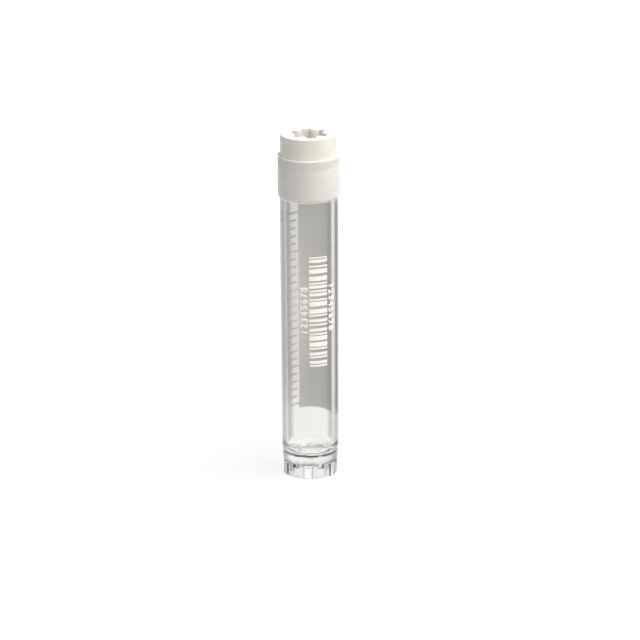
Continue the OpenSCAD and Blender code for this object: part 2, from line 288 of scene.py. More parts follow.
def makeWhitePolypropylene(look):
    # polypropylene pigmented warm white, injection moulded: soft satin with light bleeding in edges
    material, tree = newMaterial("whitePolypropylene")
    place = addNode(tree, "ShaderNodeTexCoord").outputs["Object"]
    z = addNode(tree, "ShaderNodeSeparateXYZ", {0: place}).outputs[2]
    radius = distanceFromAxis(tree, place)
    within = addNode(tree, "ShaderNodeMath", {0: radius, 1: look["recessRadius"] * mm},
                     operation="LESS_THAN")
    deeper = addNode(tree, "ShaderNodeMapRange",
                     {"Value": z, "From Min": (look["recessTop"] - look["recessFade"]) * mm,
                      "From Max": look["recessTop"] * mm, "To Min": 1.0, "To Max": look["recessLeast"]},
                     **smoothStep)
    below = addNode(tree, "ShaderNodeMath", {0: z, 1: look["recessTop"] * mm}, operation="LESS_THAN")
    depth = addNode(tree, "ShaderNodeMath", {0: deeper, 1: below}, operation="MULTIPLY")
    recess = addNode(tree, "ShaderNodeMath", {0: within, 1: depth}, operation="MULTIPLY")
    # painted shade: the socket goes darker and a little bluer with depth
    toned = addNode(tree, "ShaderNodeMix",
                    {0: recess, 6: cloudyColour(tree, place, look), 7: linear(look["recess"])},
                    **colourMultiply)
    skin = addNode(tree, "ShaderNodeBsdfPrincipled",
                   {"Base Color": toned.outputs[2], "Roughness": unevenShine(tree, place, look),
                    "IOR": look["ior"], "Subsurface Weight": look["bleed"],
                    "Subsurface Radius": look["bleedColour"],
                    "Subsurface Scale": look["bleedDepth"] * mm, "Normal": fineGrain(tree, place, look)})
    addNode(tree, "ShaderNodeOutputMaterial", {"Surface": skin})
    return material


siliconeLook = {"ior": 1.41, "colour": "#eeeeea", "cloud": "#e2e2dd", "cloudSize": 0.8,
                "grainSize": 0.1, "grain": 0.3, "grainDepth": 0.01, "roughness": 0.6,
                "bleed": 0.5, "bleedDepth": 0.6, "bleedColour": (1.0, 1.0, 0.95)}


def makeSilicone(look):
    # moulded silicone rubber: soft, a little cloudy, matt with a slight drag in its shine
    material, tree = newMaterial("mouldedSilicone")
    place = addNode(tree, "ShaderNodeTexCoord").outputs["Object"]
    skin = addNode(tree, "ShaderNodeBsdfPrincipled",
                   {"Base Color": cloudyColour(tree, place, look), "Roughness": look["roughness"],
                    "IOR": look["ior"], "Subsurface Weight": look["bleed"],
                    "Subsurface Radius": look["bleedColour"],
                    "Subsurface Scale": look["bleedDepth"] * mm, "Normal": fineGrain(tree, place, look)})
    addNode(tree, "ShaderNodeOutputMaterial", {"Surface": skin})
    return material


whiteInkLook = {"name": "whitePadInk", "colour": "#ffffff", "cloud": "#f8f8f5", "cloudSize": 0.35,
                "grainSize": 0.12, "grain": 0.3, "grainDepth": 0.004, "roughness": 0.4, "lift": 0.12,
                "lowShade": "#ffffff", "lowFrom": 14, "lowTo": 40,
                "endShade": "#ffffff", "endFrom": 1.5, "endTo": 5.5}
# the underside copy is painted lighter and darker than the ink: a stronger painted glow, and painted
# shade towards the bottom and one end
undersideLook = {**whiteInkLook, "name": "inkUnderside", "colour": "#f2f5f1", "cloud": "#edefec",
                 "roughness": 0.5, "lift": 0.215, "lowShade": "#c6c6ca", "endShade": "#d2cdc6"}


def makeInk(look):
    # pad-printed ink: an even coat with a slightly grainy lay-down; lift is painted light, a faint glow
    # of the ink's own that makes it brighter than the lamps alone light it
    material, tree = newMaterial(look["name"])
    place = addNode(tree, "ShaderNodeTexCoord").outputs["Object"]
    axes = addNode(tree, "ShaderNodeSeparateXYZ", {0: place}).outputs
    # painted shade: darker towards the bottom, by the low shade colour
    low = addNode(tree, "ShaderNodeMapRange",
                  {"Value": axes[2], "From Min": look["lowFrom"] * mm, "From Max": look["lowTo"] * mm,
                   "To Min": 1.0, "To Max": 0.0}, **smoothStep)
    toned = addNode(tree, "ShaderNodeMix",
                    {0: low, 6: cloudyColour(tree, place, look, 3.0), 7: linear(look["lowShade"])},
                    **colourMultiply)
    # painted shade: darker towards one end along x, by the end shade colour
    end = addNode(tree, "ShaderNodeMapRange",
                  {"Value": axes[0], "From Min": look["endFrom"] * mm, "From Max": look["endTo"] * mm},
                  **smoothStep)
    ended = addNode(tree, "ShaderNodeMix", {0: end, 6: toned.outputs[2], 7: linear(look["endShade"])},
                    **colourMultiply)
    skin = addNode(tree, "ShaderNodeBsdfPrincipled",
                   {"Base Color": ended.outputs[2], "Roughness": look["roughness"],
                    "Normal": fineGrain(tree, place, look),
                    "Emission Color": linear(look["colour"]), "Emission Strength": look["lift"]})
    addNode(tree, "ShaderNodeOutputMaterial", {"Surface": skin})
    return material


def newObject(name, data, *materials):
    piece = bpy.data.objects.new(name, data)
    bpy.context.scene.collection.objects.link(piece)
    for material in materials:
        data.materials.append(material)
    return piece


def meshFrom(bm, name):
    bmesh.ops.recalc_face_normals(bm, faces=bm.faces)
    mesh = bpy.data.meshes.new(name)
    bm.to_mesh(mesh)
    bm.free()
    return mesh


def roundCorners(outline, arcSteps=4):
    # each corner is (radius, height) or (radius, height, fillet); a fillet becomes an arc
    points = []
    for i, corner in enumerate(outline):
        here = Vector(corner[:2])
        if len(corner) < 3:
            points.append(here)
            continue
        before = (Vector(outline[i - 1][:2]) - here).normalized()
        after = (Vector(outline[(i + 1) % len(outline)][:2]) - here).normalized()
        half = before.angle(after) / 2
        centre = here + (before + after).normalized() * corner[2] / math.sin(half)
        first = here + before * corner[2] / math.tan(half) - centre
        last = here + after * corner[2] / math.tan(half) - centre
        for k in range(arcSteps + 1):
            points.append(centre + first.slerp(last, k / arcSteps).normalized() * corner[2])
    return points


def circleAt(radius, height, steps, start=0.0):
    if radius == 0:
        return [(0, 0, height)]
    angles = [start + math.tau * k / steps for k in range(steps)]
    return [(radius * math.cos(a), radius * math.sin(a), height) for a in angles]


def loft(name, rings, closed=False, turnDegrees=0.0):
    # skins rings of (x, y, z) points in mm; a ring of one point is a pole
    bm = bmesh.new()
    rows = [[bm.verts.new(Vector(point) * mm) for point in ring] for ring in rings]
    for low, high in zip(rows, rows[1:] + rows[:1] if closed else rows[1:]):
        count = max(len(low), len(high))
        for k in range(count):
            n = (k + 1) % count
            corners = (low[k % len(low)], low[n % len(low)], high[n % len(high)], high[k % len(high)])
            bm.faces.new(list(dict.fromkeys(corners)))
    bmesh.ops.rotate(bm, verts=bm.verts, cent=(0, 0, 0),
                     matrix=Matrix.Rotation(math.radians(turnDegrees), 3, "Z"))
    return newObject(name, meshFrom(bm, name))


def lathe(name, outline, closed=False, steps=240):
    # turns an outline of (radius, height) corners round the Z axis
    return loft(name, [circleAt(x, z, steps) for x, z in roundCorners(outline)], closed)


def block(name, innerR, outerR, width, low, high, bevel=0.0, noseSteps=8, sharpDegrees=40):
    # a block along -Y from one radius to another, its outer end curved about the axis
    bm = bmesh.new()
    half = width / 2
    reach = math.asin(half / outerR)
    angles = [-math.pi / 2 - reach + 2 * reach * k / noseSteps for k in range(noseSteps + 1)]
    outline = [(-half, -innerR)] + [(outerR * math.cos(a), outerR * math.sin(a)) for a in angles]
    outline.append((half, -innerR))
    bottom = bm.faces.new([bm.verts.new((x * mm, y * mm, low * mm)) for x, y in outline])
    lifted = bmesh.ops.extrude_face_region(bm, geom=[bottom])["geom"]
    tops = [v for v in lifted if isinstance(v, bmesh.types.BMVert)]
    bmesh.ops.translate(bm, verts=tops, vec=(0, 0, (high - low) * mm))
    bmesh.ops.recalc_face_normals(bm, faces=bm.faces)
    if bevel:
        # every real edge but those of the inner end, which is buried
        end = -innerR * mm - 1e-7
        sharp = [e for e in bm.edges if e.calc_face_angle() > math.radians(sharpDegrees)
                 and min(v.co.y for v in e.verts) < end]
        bmesh.ops.bevel(bm, geom=sharp, offset=bevel * mm, segments=3, profile=0.5,
                        affect="EDGES", clamp_overlap=True)
    return newObject(name, meshFrom(bm, name))


def bake(carrier, name):
    # the evaluated mesh as a plain one, with every modifier removed
    shown = carrier.evaluated_get(bpy.context.evaluated_depsgraph_get())
    mesh = bpy.data.meshes.new_from_object(shown)
    mesh.name = name
    bpy.data.objects.remove(carrier)
    return newObject(name, mesh)


def combine(base, tools, operation):
    # joins or cuts closed meshes, and uses the tools up
    name = base.name
    for tool in tools:
        boolean = base.modifiers.new(operation, "BOOLEAN")
        boolean.operation = operation
        boolean.solver = "EXACT"
        boolean.object = tool
    result = bake(base, name)
    for tool in tools:
        bpy.data.objects.remove(tool)
    return result


def finishPiece(piece, name, material, sharpDegrees=32):
    # smooth shading that keeps real edges, with flat faces weighted so that they stay flat
    piece.data.materials.clear()
    piece.data.materials.append(material)
    piece.data.shade_smooth()
    piece.data.set_sharp_from_angle(angle=math.radians(sharpDegrees))
    weighted = piece.modifiers.new("flatFaces", "WEIGHTED_NORMAL")
    weighted.keep_sharp = True
    return bake(piece, name)


def standFor(piece, body, slot, *nodes):
    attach(piece, body)
    if nodes:
        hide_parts(*nodes)


def setInput(modifier, name, value):
    # a tree's named input is set by its socket's identifier
    for item in modifier.node_group.interface.items_tree:
        if item.item_type == "SOCKET" and item.in_out == "INPUT" and item.name == name:
            modifier[item.identifier] = value


def newTree(name, inputs):
    # a Geometry Nodes tree with named inputs: {name: (kind of socket, value)}
    tree = bpy.data.node_groups.new(name, "GeometryNodeTree")
    tree.interface.new_socket("Geometry", in_out="INPUT", socket_type="NodeSocketGeometry")
    for label, (kind, value) in inputs.items():
        socket = tree.interface.new_socket(label, in_out="INPUT", socket_type="NodeSocket" + kind)
        if value is not None:
            socket.default_value = value
    tree.interface.new_socket("Geometry", in_out="OUTPUT", socket_type="NodeSocketGeometry")
    return tree, addNode(tree, "NodeGroupInput").outputs


def endTree(tree, geometry, given, inward=None):
    # makes instances real and sets the material; faces that lie inward take the underside's
    solid = addNode(tree, "GeometryNodeRealizeInstances", {"Geometry": geometry})
    painted = addNode(tree, "GeometryNodeSetMaterial",
                      {"Geometry": solid, "Material": given["Material"]})
    if inward:
        painted = addNode(tree, "GeometryNodeSetMaterial",
                          {"Geometry": painted, "Selection": inward, "Material": given["Underside"]})
    addNode(tree, "NodeGroupOutput", {"Geometry": painted})


def grow(name, tree, values, start=None):
    # runs a tree on an object and keeps the result as a plain mesh
    carrier = start or newObject(name, bpy.data.meshes.new(name))
    modifier = carrier.modifiers.new(tree.name, "NODES")
    modifier.node_group = tree
    for label, value in values.items():
        setInput(modifier, label, value)
    return bake(carrier, name)


def makeRingTree():
    # copies of an object, evenly round the Z axis
    tree, given = newTree("ringTree", {"Shape": ("Object", None), "Count": ("Int", 6),
                                       "Start Angle": ("Float", 0.0), "Material": ("Material", None)})
    points = addNode(tree, "GeometryNodeMeshLine", {"Count": given["Count"], "Offset": (0, 0, 0)})
    shape = addNode(tree, "GeometryNodeObjectInfo", {"Object": given["Shape"]}).outputs["Geometry"]
    index = addNode(tree, "GeometryNodeInputIndex")
    step = addNode(tree, "ShaderNodeMath", {0: math.tau, 1: given["Count"]}, operation="DIVIDE")
    angle = addNode(tree, "ShaderNodeMath", {0: index, 1: step, 2: given["Start Angle"]},
                    operation="MULTIPLY_ADD")
    turn = addNode(tree, "ShaderNodeCombineXYZ", {"Z": angle})
    copies = addNode(tree, "GeometryNodeInstanceOnPoints",
                     {"Points": points, "Instance": shape, "Rotation": turn})
    endTree(tree, copies, given)
    return tree


def ringOf(shape, count, startDegrees=0.0):
    ring = grow(shape.name + "Ring", ringTree,
                {"Shape": shape, "Count": count, "Start Angle": math.radians(startDegrees)})
    bpy.data.objects.remove(shape)
    return ring


def makeThreadTree():
    # a ridge of trapezoid section that climbs round the Z axis and dies away at both ends
    tree, given = newTree("threadTree", {
        "Radius": ("Float", 0.0055), "Lead": ("Float", 0.0036), "Turns": ("Float", 1.0),
        "Root": ("Float", 0.001), "Crest": ("Float", 0.0004), "Depth": ("Float", 0.0004),
        "Start Height": ("Float", 0.0), "Start Angle": ("Float", 0.0),
        "Section Turn": ("Float", -math.pi / 2), "Run Out": ("Float", 0.06),
        "Run Out Share": ("Float", 0.2), "Material": ("Material", None)})
    rise = addNode(tree, "ShaderNodeMath", {0: given["Lead"], 1: given["Turns"]}, operation="MULTIPLY")
    spiral = addNode(tree, "GeometryNodeCurveSpiral",
                     {"Resolution": 120, "Rotations": given["Turns"], "Start Radius": given["Radius"],
                      "End Radius": given["Radius"], "Height": rise, "Reverse": True})
    upright = addNode(tree, "GeometryNodeSetCurveNormal", {"Curve": spiral}, mode="Z_UP")
    section = addNode(tree, "GeometryNodeCurvePrimitiveQuadrilateral",
                      {"Bottom Width": given["Root"], "Top Width": given["Crest"],
                       "Height": given["Depth"], "Offset": 0.0}, mode="TRAPEZOID")
    # the section stands on its root, and then turns to point away from the wall
    halfDepth = addNode(tree, "ShaderNodeMath", {0: given["Depth"], 1: 0.5}, operation="MULTIPLY")
    shift = addNode(tree, "ShaderNodeCombineXYZ", {"Y": halfDepth})
    rooted = addNode(tree, "GeometryNodeTransform", {"Geometry": section, "Translation": shift})
    sectionTurn = addNode(tree, "ShaderNodeCombineXYZ", {"Z": given["Section Turn"]})
    aimed = addNode(tree, "GeometryNodeTransform", {"Geometry": rooted, "Rotation": sectionTurn})
    along = addNode(tree, "GeometryNodeSplineParameter")
    fromEnd = addNode(tree, "ShaderNodeMath", {0: along, 1: 0.5}, operation="PINGPONG")
    swell = addNode(tree, "ShaderNodeMapRange",
                    {"Value": fromEnd, "From Max": given["Run Out"], "To Min": given["Run Out Share"]},
                    **smoothStep)
    ridge = addNode(tree, "GeometryNodeCurveToMesh",
                    {"Curve": upright, "Profile Curve": aimed, "Scale": swell, "Fill Caps": True})
    lift = addNode(tree, "ShaderNodeCombineXYZ", {"Z": given["Start Height"]})
    turn = addNode(tree, "ShaderNodeCombineXYZ", {"Z": given["Start Angle"]})
    placed = addNode(tree, "GeometryNodeTransform",
                     {"Geometry": ridge, "Translation": lift, "Rotation": turn})
    endTree(tree, placed, given)
    return tree


def threadRidges(name, s, radius, sectionTurn):
    # both ridges of a two-start thread, each rooted in the wall by a small bite
    return [grow(name, threadTree, {
        "Radius": radius * mm, "Lead": s["threadLead"] * mm, "Turns": s["threadTurns"],
        "Root": s["ridgeRoot"] * mm, "Crest": s["ridgeCrest"] * mm,
        "Depth": (s["threadDepth"] + s["bite"]) * mm, "Start Height": s["threadLow"] * mm,
        "Start Angle": start + math.radians(s["threadTurn"]), "Section Turn": sectionTurn})
        for start in (0, math.pi)]


def makeTickTree():
    # flat marks up a scale, every so many of them a long one
    tree, given = newTree("tickTree", {
        "Count": ("Int", 26), "Spacing": ("Float", 0.0017), "Every": ("Int", 5),
        "First Long": ("Int", 0), "Short": ("Float", 0.0027), "Long": ("Float", 0.0034),
        "Line": ("Float", 0.0004), "Right": ("Float", 0.0), "Base": ("Float", 0.0),
        "Material": ("Material", None)})
    up = addNode(tree, "ShaderNodeCombineXYZ", {"Z": given["Spacing"]})
    start = addNode(tree, "ShaderNodeCombineXYZ", {"X": given["Right"], "Z": given["Base"]})
    points = addNode(tree, "GeometryNodeMeshLine",
                     {"Count": given["Count"], "Start Location": start, "Offset": up})
    index = addNode(tree, "GeometryNodeInputIndex")
    beat = addNode(tree, "ShaderNodeMath", {0: index, 1: given["First Long"]}, operation="SUBTRACT")
    left = addNode(tree, "ShaderNodeMath", {0: beat, 1: given["Every"]}, operation="FLOORED_MODULO")
    major = addNode(tree, "ShaderNodeMath", {0: left, 1: 0.5}, operation="LESS_THAN")
    reach = addNode(tree, "ShaderNodeMix", {0: major, 2: given["Short"], 3: given["Long"]})
    size = addNode(tree, "ShaderNodeCombineXYZ", {"X": reach, "Y": given["Line"], "Z": 1.0})
    quad = addNode(tree, "GeometryNodeMeshGrid",
                   {"Size X": 1.0, "Size Y": 1.0, "Vertices X": 2, "Vertices Y": 2})
    hung = addNode(tree, "GeometryNodeTransform", {"Geometry": quad, "Translation": (-0.5, 0, 0)})
    copies = addNode(tree, "GeometryNodeInstanceOnPoints",
                     {"Points": points, "Instance": hung, "Rotation": (math.pi / 2, 0, 0), "Scale": size})
    endTree(tree, copies, given)
    return tree


def makeWrapTree():
    # bends flat artwork, x along the round and z up, on to the tapered body; -y stands off the surface
    tree, given = newTree("wrapTree", {
        "Low Radius": ("Float", 0.0061), "High Radius": ("Float", 0.00625),
        "Taper Low": ("Float", 0.0059), "Taper High": ("Float", 0.0544),
        "Material": ("Material", None), "Underside": ("Material", None)})
    facing = addNode(tree, "GeometryNodeInputNormal")
    kept = addNode(tree, "GeometryNodeCaptureAttribute", {"Geometry": given["Geometry"]}, domain="FACE")
    kept.capture_items.new("VECTOR", "Facing")
    tree.links.new(facing.outputs[0], kept.inputs["Facing"])
    place = addNode(tree, "GeometryNodeInputPosition")
    axes = addNode(tree, "ShaderNodeSeparateXYZ", {0: place}).outputs
    radius = addNode(tree, "ShaderNodeMapRange",
                     {"Value": axes[2], "From Min": given["Taper Low"], "From Max": given["Taper High"],
                      "To Min": given["Low Radius"], "To Max": given["High Radius"]})
    reach = addNode(tree, "ShaderNodeMath", {0: radius, 1: axes[1]}, operation="SUBTRACT")
    angle = addNode(tree, "ShaderNodeMath", {0: axes[0], 1: given["High Radius"]}, operation="DIVIDE")
    bent = addNode(tree, "ShaderNodeCombineXYZ", {2: axes[2]})
    for axis, share in enumerate(("COSINE", "SINE")):
        part = addNode(tree, "ShaderNodeMath", {0: angle}, operation=share)
        out = addNode(tree, "ShaderNodeMath", {0: reach, 1: part}, operation="MULTIPLY")
        tree.links.new(out.outputs[0], bent.inputs[axis])
    moved = addNode(tree, "GeometryNodeSetPosition", {"Geometry": kept, "Position": bent})
    depth = addNode(tree, "ShaderNodeSeparateXYZ", {0: kept.outputs["Facing"]}).outputs[1]
    inward = addNode(tree, "FunctionNodeCompare", {0: depth, 1: 0.5}, data_type="FLOAT",
                     operation="GREATER_THAN")
    endTree(tree, moved, given, inward)
    return tree


ringTree = makeRingTree()
threadTree = makeThreadTree()
tickTree = makeTickTree()
wrapTree = makeWrapTree()
print("trees built")


# one thread for the neck and the cap
threadSizes = {"threadLead": 3.6, "threadDepth": 0.38, "ridgeRoot": 0.95, "ridgeCrest": 0.4, "bite": 0.12}
# steep and sideways are limits on which faces count as the foot's sides; frostBelow and frostAbove
# reach from the shoulder
vialSizes = {"footRadius": 5.8, "hollowRadius": 4.6, "footHeight": 3.0, "waistLow": 3.7,
             "waistRadius": 5.98, "bodyLow": 5.9, "bodyStep": 0.12, "lowRadius": 6.1, "landLow": 54.4,
             "bodyRadius": 6.25, "shoulder": 62.4, "shoulderBevel": 0.15, "neckRadius": 5.5,
             "rim": 68.6, "mouthRadius": 4.9, "mouthFillet": 0.2, "neckFillet": 0.15,
             "edgeFillet": 0.05, "waistFillet": 0.1, "footFillet": 0.06, "hollowFillet": 0.15,
             "wellRadius": 4.8, "wellFloor": 4.6, "wellDish": 0.5, "wellCorner": 2.2, "wellSteps": 30,
             "ribCount": 6, "ribWidth": 1.9, "ribBevel": 0.35, "ribStart": 0.6,
             "toothWidth": 1.2, "toothHeight": 0.8, "toothEnd": 0.4,
             "windowWidth": 1.1, "windowHeight": 0.9, "windowInside": 0.2, "windowOutside": 0.3,
             **threadSizes, "threadTurns": 1.139, "threadLow": 63.45, "threadTurn": 0,
             "steep": 0.5, "sideways": 0.8, "frostBelow": 0.1, "frostAbove": 0.6}


def makeVial(s):
    turnX = s["wellRadius"] - s["wellCorner"]
    turnZ = s["wellFloor"] + s["wellDish"] + s["wellCorner"]
    quarter = [math.radians(90 - 90 * k / s["wellSteps"]) for k in range(s["wellSteps"] + 1)]
    corner = [(turnX + s["wellCorner"] * math.sin(a), turnZ - s["wellCorner"] * math.cos(a))
              for a in quarter]
    edge = s["edgeFillet"]
    outline = [(0, s["footHeight"]), (s["hollowRadius"], s["footHeight"], s["hollowFillet"]),
               (s["hollowRadius"], 0, s["footFillet"]), (s["footRadius"], 0, s["footFillet"]),
               (s["footRadius"], s["footHeight"]), (s["waistRadius"], s["waistLow"], s["waistFillet"]),
               (s["waistRadius"], s["bodyLow"] - s["bodyStep"]), (s["lowRadius"], s["bodyLow"], edge),
               (s["bodyRadius"], s["landLow"]),
               (s["bodyRadius"], s["shoulder"] - s["shoulderBevel"], edge),
               (s["bodyRadius"] - s["shoulderBevel"], s["shoulder"], edge),
               (s["neckRadius"], s["shoulder"], s["neckFillet"]),
               (s["neckRadius"], s["rim"], s["mouthFillet"]),
               (s["mouthRadius"], s["rim"], s["mouthFillet"])]
    outline += corner + [(0, s["wellFloor"])]
    vial = lathe("vialTube", outline)
    rib = block("footRib", s["hollowRadius"] + s["ribStart"], s["lowRadius"], s["ribWidth"],
                0, s["footHeight"], s["ribBevel"])
    tooth = block("footTooth", s["hollowRadius"] - s["toothHeight"], s["hollowRadius"] + s["toothEnd"],
                  s["toothWidth"], 0, s["footHeight"] + s["toothEnd"])
    ridges = threadRidges("neckRidge", s, s["neckRadius"] - s["bite"], -math.pi / 2)
    vial = combine(vial, [ringOf(rib, s["ribCount"]), ringOf(tooth, s["ribCount"])] + ridges, "UNION")
    window = block("footWindow", s["hollowRadius"] - s["windowInside"],
                   s["lowRadius"] + s["windowOutside"], s["windowWidth"],
                   s["footHeight"] - s["windowHeight"], s["footHeight"])
    return combine(vial, [ringOf(window, s["ribCount"], 180 / s["ribCount"])], "DIFFERENCE")


def darkenFootSides(piece, s, material):
    # the steep sides of ribs and windows are painted dark, a painted shade for their being seen edge on
    # through the most plastic
    piece.data.materials.append(material)
    for face in piece.data.polygons:
        middle, facing = face.center, face.normal
        outside = middle.xy.length > s["hollowRadius"] * mm and middle.z < s["footHeight"] * mm
        turned = abs(facing.xy.dot(middle.xy.normalized())) < s["sideways"]
        if outside and turned and abs(facing.z) < s["steep"]:
            face.material_index = 1


def frostAndGlowShoulder(piece, s, material):
    # the shoulder's edge keeps the mould's fine texture, and takes a faint painted glow
    piece.data.materials.append(material)
    low = (s["shoulder"] - s["shoulderBevel"] - s["frostBelow"]) * mm
    high = (s["shoulder"] + s["frostAbove"]) * mm
    for face in piece.data.polygons:
        if low < face.center.z < high:
            face.material_index = 2


vial = finishPiece(makeVial(vialSizes), "vialTube", makeClearPolypropylene(clearLook))
darkenFootSides(vial, vialSizes, makeClearPolypropylene(footSideShadeLook))
frostAndGlowShoulder(vial, vialSizes, makeClearPolypropylene(frostAndGlowLook))
standFor(vial, "vial", "clear_pp", "tube")
print("vial built", len(vial.data.polygons))


capSizes = {"deckLow": 69.35, "deckHigh": 70.35, "boreRadius": 6.0, "lipLow": 62.55, "leadInTop": 63.45,
            "lipInner": 6.32, "leadInFillet": 0.04, "outerRadius": 6.62, "lipBevel": 0.2,
            "lipFillet": 0.1, "deckFillet": 0.15, "gripLow": 69.45, "gripHigh": 71.2, "gripCount": 90,
            "gripDepth": 0.13, "grooveSteps": 8, "seamHeight": 71.3, "seamDepth": 0.1,
            "ledge": 71.55, "ledgeFillet": 0.05, "recessRadius": 5.17, "turn": 45,
            **threadSizes, "threadTurns": 1.153, "threadLow": 63.925, "threadHigh": 68.4,
            "threadTurn": -42.5, "linePhase": -1.75}


def makeCap(s):
    outer = s["outerRadius"]
    steps = s["gripCount"] * s["grooveSteps"]
    pitch = math.tau * outer / steps

    def grooved(height):
        # a circle with V-grooves cut into it
        ring = []
        for k, (x, y, z) in enumerate(circleAt(1, height, steps)):
            off = k % s["grooveSteps"]
            away = min(off, s["grooveSteps"] - off) * pitch
            radius = outer - max(0, s["gripDepth"] - away)
            ring.append((radius * x, radius * y, z))
        return ring

    low = roundCorners([(0, s["deckLow"]), (s["boreRadius"], s["deckLow"], s["deckFillet"]),
                        (s["boreRadius"], s["leadInTop"]),
                        (s["lipInner"], s["lipLow"], s["leadInFillet"]),
                        (outer - s["lipBevel"], s["lipLow"]),
                        (outer, s["lipLow"] + s["lipBevel"], s["lipFillet"]), (outer, s["gripLow"])])
    high = roundCorners([(outer, s["gripHigh"]), (outer - s["seamDepth"], s["seamHeight"]),
                         (outer, s["seamHeight"] + s["seamDepth"]),
                         (outer, s["ledge"], s["ledgeFillet"]), (s["recessRadius"], s["ledge"]),
                         (s["recessRadius"], s["deckHigh"], s["deckFillet"]), (0, s["deckHigh"])])
    rings = [circleAt(x, z, steps) for x, z in low]
    rings += [grooved(s["gripLow"]), grooved(s["gripHigh"])]
    rings += [circleAt(x, z, steps) for x, z in high]
    cap = loft("screwCap", rings, turnDegrees=s["turn"])
    ridges = threadRidges("capRidge", s, s["boreRadius"] + s["bite"], math.pi / 2)
    return combine(cap, ridges, "UNION")


naturalPlastic = makeNaturalPolypropylene(naturalLook, capSizes)
cap = finishPiece(makeCap(capSizes), "screwCap", naturalPlastic)
standFor(cap, "cap", "natural_pp", "screw_cap")
print("cap built", len(cap.data.polygons))


insertSizes = {"bottom": capSizes["ledge"], "turn": capSizes["turn"], "top": 76.15, "radius": 6.07,
               "topBevel": 0.12, "bottomFillet": 0.05,
               "spigotOuter": 5.13, "spigotInner": 4.13, "spigotLow": 70.39,
               "socketRadius": 4.15, "socketFloor": 72.75, "edge": 0.1, "edgeArc": (0.4, 0.8, 1.2),
               "ribCount": 6, "ribWidth": 2.0, "ribReach": 1.15, "noseSteps": 12, "arcSteps": 16}


def socketOutline(s, grow, height):
    # the socket's outline, pushed out by grow: arcs of a circle with round-nosed ribs between
    big, nose = s["socketRadius"] + grow, s["ribWidth"] / 2 - grow
    centre = s["socketRadius"] - s["ribReach"] + s["ribWidth"] / 2
    endCosine = max(0.0, (nose ** 2 + centre ** 2 - big ** 2) / (2 * centre * nose))
    end = math.acos(endCosine)
    meet = Vector((nose * math.sin(end), -centre + nose * endCosine))
    shoulder = math.asin(meet.x / big)
    corner = Vector((meet.x, -big * math.cos(shoulder)))
    gap = math.tau / s["ribCount"]
    # one rib and the arc after it
    noses = [end * (k / s["noseSteps"] - 1) for k in range(2 * s["noseSteps"] + 1)]
    arcs = [-math.pi / 2 + shoulder + (gap - 2 * shoulder) * k / s["arcSteps"]
            for k in range(1, s["arcSteps"] + 1)]
    local = [Vector((nose * math.sin(t), -centre + nose * math.cos(t))) for t in noses]
    local += [meet.lerp(corner, 0.5), corner]
    local += [Vector((big * math.cos(a), big * math.sin(a))) for a in arcs]
    local.append(Matrix.Rotation(gap, 2) @ (meet.lerp(corner, 0.5) * Vector((-1, 1))))
    turns = [Matrix.Rotation(gap * i, 2) for i in range(s["ribCount"])]
    return [(*(turn @ point), height) for turn in turns for point in local]


def makeInsert(s):
    edge, top, floor = s["edge"], s["top"], s["socketFloor"]
    rings = [[(0, 0, floor)], socketOutline(s, -edge, floor)]
    rings += [socketOutline(s, -edge * (1 - math.sin(t)), floor + edge * (1 - math.cos(t)))
              for t in s["edgeArc"]]
    rings += [socketOutline(s, 0, floor + edge), socketOutline(s, 0, top - edge)]
    rings += [socketOutline(s, edge * (1 - math.cos(t)), top - edge * (1 - math.sin(t)))
              for t in s["edgeArc"]]
    rings += [socketOutline(s, edge, top)]
    outer = roundCorners([(s["socketRadius"] + edge, top), (s["radius"], top, s["topBevel"]),
                          (s["radius"], s["bottom"], s["bottomFillet"]), (s["spigotOuter"], s["bottom"]),
                          (s["spigotOuter"], s["spigotLow"]), (s["spigotInner"], s["spigotLow"]),
                          (s["spigotInner"], s["bottom"]), (0, s["bottom"])])[1:]
    # the rings outside start where the socket's outline starts
    first = socketOutline(s, 0, 0)[0]
    start = math.atan2(first[1], first[0])
    rings += [circleAt(x, z, len(rings[1]), start) for x, z in outer]
    return loft("capInsert", rings, turnDegrees=s["turn"])


insert = finishPiece(makeInsert(insertSizes), "capInsert", makeWhitePolypropylene(whiteLook))
standFor(insert, "cap", "white_pp", "cap_insert")
print("insert built", len(insert.data.polygons))


sealSizes = {"inner": 4.75, "outer": 5.95, "bottom": vialSizes["rim"], "top": 69.3, "edge": 0.15,
             "steps": 160}


def makeSeal(s):
    corners = [(s["inner"], s["bottom"]), (s["outer"], s["bottom"]), (s["outer"], s["top"]),
               (s["inner"], s["top"])]
    return lathe("sealRing", [(*corner, s["edge"]) for corner in corners], True, s["steps"])


seal = finishPiece(makeSeal(sealSizes), "sealRing", makeSilicone(siliconeLook))
standFor(seal, "seal", "silicone", "seal_ring")
print("seal built")


# angles are degrees round the body from +X, anticlockwise seen from above; capShare is a digit's
# height over its font's size
printSizes = {"radius": vialSizes["bodyRadius"], "standOff": 0.005, "thickness": 0.02, "slice": 0.2,
              "panelFrom": 3.4, "panelTo": 123.4, "panelLow": 12.9, "panelHigh": 60.9,
              "barsFrom": -85.0, "barsTo": -47.3, "barsLow": 25.8, "barsHigh": 50.4, "leastBar": 0.2,
              "barWidths": (0.36, 0.62, 0.95), "barGaps": (0.28, 0.68, 0.45),
              "digits": "12345678", "digitHeight": 1.45, "digitSpacing": 1.32,
              "capShare": 0.7, "boldness": 0.07, "curveSteps": 4,
              "leftDigits": (-95.2, 38.35), "rightDigits": (-37.0, 38.75),
              "numeralCount": 3, "numeralEvery": 10, "firstNumeral": 5, "numeralHeight": 2.1,
              "numeralAngle": 177, "tickCount": 26, "tickSpacing": 1.74, "firstTick": 13.95,
              "longEvery": 5, "firstLong": 0, "tickRight": 154.4, "shortTick": 2.75, "longTick": 3.4,
              "tickLine": 0.44}


def arcAt(degrees):
    return math.radians(degrees) * printSizes["radius"] * mm


def flatRect(bm, left, right, low, high):
    corners = [(left, 0, low), (right, 0, low), (right, 0, high), (left, 0, high)]
    bm.faces.new([bm.verts.new(c) for c in corners])


